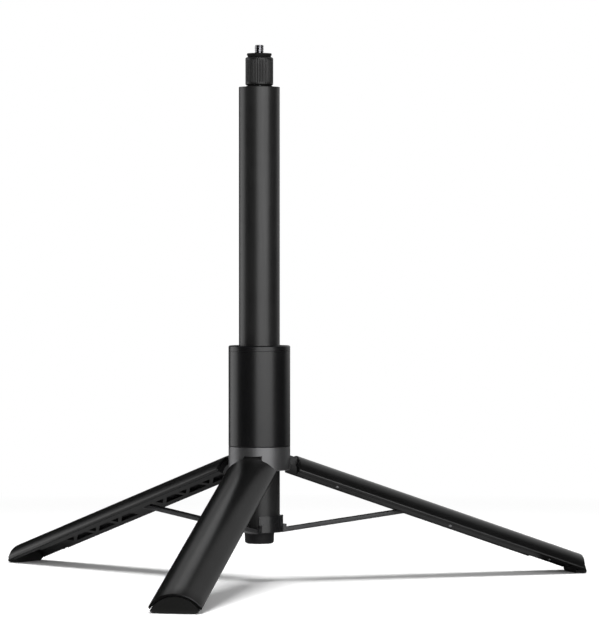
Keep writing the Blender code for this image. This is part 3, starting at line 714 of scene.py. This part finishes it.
def white_for_eye(tree):
    """1 for rays of the camera, of gloss and of glass, which see the white studio; 0 for other rays."""
    path = add_node(tree, "LightPath")
    camera_ray, glossy_ray = path.outputs["Is Camera Ray"], path.outputs["Is Glossy Ray"]
    seen = add_node(tree, "Math", {"operation": "MAXIMUM"}, {0: camera_ray, 1: glossy_ray}).outputs[0]
    glass_ray = path.outputs["Is Transmission Ray"]
    return add_node(tree, "Math", {"operation": "MAXIMUM"}, {0: seen, 1: glass_ray}).outputs[0]


def lamp(name, azimuth, distance, height, width, tall, power, aim):
    """A soft box: a rectangle of light that faces a height on the hub's axis."""
    light = bpy.data.lights.new(name, "AREA")
    light.shape = "RECTANGLE"
    light.size, light.size_y = width, tall
    light.energy = power
    made = bpy.data.objects.new(name, light)
    bpy.context.scene.collection.objects.link(made)
    place = studio_place(azimuth, distance, height)
    direction = HUB + [0, 0, aim] - place
    made.location = place
    pitch = math.atan2(direction[2], math.hypot(direction[0], direction[1]))
    made.rotation_euler = (math.pi / 2 + pitch, 0, math.atan2(-direction[0], direction[1]))
    return made


lamp(
    "front soft box",
    azimuth=20.5, distance=1.45, height=0.48, width=1.8, tall=1.1, power=20.5, aim=0.48,
)
lamp(
    "left soft box",
    azimuth=-110.0, distance=1.6, height=0.36, width=1.16, tall=0.72, power=1.6, aim=0.36,
)
overhead = lamp(
    "overhead soft box",
    azimuth=0.0, distance=0.001, height=1.7, width=0.8, tall=0.8, power=28.5, aim=0.0,
)
overhead.visible_glossy = False

world = bpy.data.worlds.new("white studio")
bpy.context.scene.world = world
world.use_nodes = True
world.node_tree.nodes.clear()
tree = world.node_tree
eye = white_for_eye(tree)
strength = add_node(tree, "MapRange", {"To Min": STUDIO_FILL, "To Max": 1.0}, {"Value": eye})
background = add_node(
    tree, "Background", {"Color": linear("ffffff")}, {"Strength": strength.outputs["Result"]}
)
add_node(tree, "OutputWorld", links={"Surface": background.outputs["Background"]})


def studio_floor():
    """A flat round floor: rings of growing radius round the hub, at the height of the soles."""
    radius = np.array(FLOOR_RINGS)[:, None]
    angle = np.linspace(0, 2 * math.pi, 64, endpoint=False)[None, :]
    x, y = HUB[0] + radius * np.cos(angle), HUB[1] + radius * np.sin(angle)
    return np.stack(np.broadcast_arrays(x, y, 0.0), -1)


def studio_sheet(azimuth, outline):
    """A sheet: a (distance, height) outline carried round the hub through a row of azimuths."""
    turn = np.radians(azimuth)[:, None, None]
    flat = np.cos(turn) * TO_CAMERA + np.sin(turn) * TO_RIGHT
    return HUB + outline[None, :, :1] * flat + outline[None, :, 1:] * np.array([0, 0, 1.0])


def stage_piece(name, mesh, material):
    """Makes an object of a mesh that belongs to the set and not to the stick."""
    made = bpy.data.objects.new(name, mesh)
    bpy.context.scene.collection.objects.link(made)
    mesh.materials.append(material)
    return made


# Floor of white paper: it takes the object's shadow, and far from the object it is the white studio.
paper, tree = blank_material("white paper floor")
place = add_node(tree, "TexCoord").outputs["Object"]
from_hub = add_node(tree, "VectorMath", {"operation": "DISTANCE", 1: tuple(HUB)}, {0: place})
far = add_node(
    tree,
    "MapRange",
    {"From Min": FLOOR_FADE_START, "From Max": FLOOR_FADE_END},
    {"Value": from_hub.outputs["Value"]},
)
eye = white_for_eye(tree)
far_eye = add_node(tree, "Math", {"operation": "MULTIPLY"}, {0: far.outputs["Result"], 1: eye})
sheet = add_node(tree, "BsdfDiffuse", {"Color": linear("fcfcfc")})
glow = add_node(tree, "Emission", {"Color": linear("ffffff"), "Strength": 1.0})
both = add_node(
    tree,
    "MixShader",
    links={0: far_eye.outputs[0], 1: sheet.outputs["BSDF"], 2: glow.outputs["Emission"]},
)
add_node(tree, "OutputMaterial", links={"Surface": both.outputs["Shader"]})
stage_piece("floor", skin("floor", studio_floor(), False), paper)


def dome(radius, low, high):
    """Outline of a part of a round dome between two elevations in degrees."""
    slope = np.radians(np.linspace(low, high, 14))
    return radius * np.stack([np.cos(slope), np.sin(slope)], -1)


def floor_sheet(*distances):
    """Outline of a sheet that lies just over the floor, through distances from the hub."""
    return np.array([[distance, SHEET_HEIGHT] for distance in distances])


# Sheets round the set, which only gloss sees, paint the reflections on the stick. Black cloth paints the
# dark bands between the soft boxes and is open on the left to the white studio. A glowing grey sheet under
# the stick paints the floor's shade, and glowing sheets at the back paint a grey wall, a dim one above it
# and two strips, one brighter than the studio and one dimmer. Each has its azimuths in degrees, its outline
# and its brightness.
walls = np.vstack([floor_sheet(0.2, 0.8, 1.6, 2.4), dome(WALL_RADIUS, 0, 90)])
reflected_sheets = {
    # Painted floor shade: a grey sheet that glows for gloss alone, in place of the shaded floor under the
    # stick.
    "painted floor shade underfoot": (np.arange(-180, 181, 5), floor_sheet(0.012, 0.1, 0.2), 0.42),
    "black cloth walls": (np.arange(-90, 223, 4), walls, 0.0),
    "black cloth roof": (np.arange(-138, -89, 4), dome(WALL_RADIUS, 28, 90), 0.0),
    "painted grey back wall reflection": (np.arange(116, 180, 5), dome(BACK_RADIUS, 0, 28), 0.68),
    "painted dim back wall reflection": (np.arange(130, 180, 5), dome(BACK_RADIUS, 28, 54), 0.4),
    "painted back strip reflection": (np.arange(173, 195, 3), dome(STRIP_RADIUS, 37, 51), 1.3),
    "painted dim strip reflection": (np.arange(194, 208, 3), dome(STRIP_RADIUS, 28, 47), 0.6),
}
# Each sheet glows at its brightness for gloss alone: the glowing ones paint reflections, the black ones dark
# bands.
for name, (azimuth, outline, level) in reflected_sheets.items():
    cloth, tree = blank_material(name)
    shade = add_node(tree, "Emission", {"Color": linear("ffffff"), "Strength": level})
    add_node(tree, "OutputMaterial", links={"Surface": shade.outputs["Emission"]})
    mesh = skin(name, studio_sheet(azimuth, outline), False, False)
    reflected_sheet = stage_piece(name.replace(" ", "_"), mesh, cloth)
    reflected_sheet.visible_camera = reflected_sheet.visible_diffuse = reflected_sheet.visible_shadow = False

camera = bpy.data.objects.new("camera", bpy.data.cameras.new("camera"))
bpy.context.scene.collection.objects.link(camera)
camera.data.sensor_fit = "VERTICAL"
camera.data.sensor_height = CAMERA_SENSOR
camera.data.lens = CAMERA_LENS
camera.location = CAMERA_PLACE
camera.rotation_euler = (VIEW_TILT, 0.0, VIEW_TURN)
bpy.context.scene.camera = camera
bpy.context.scene.view_settings.view_transform = "Standard"
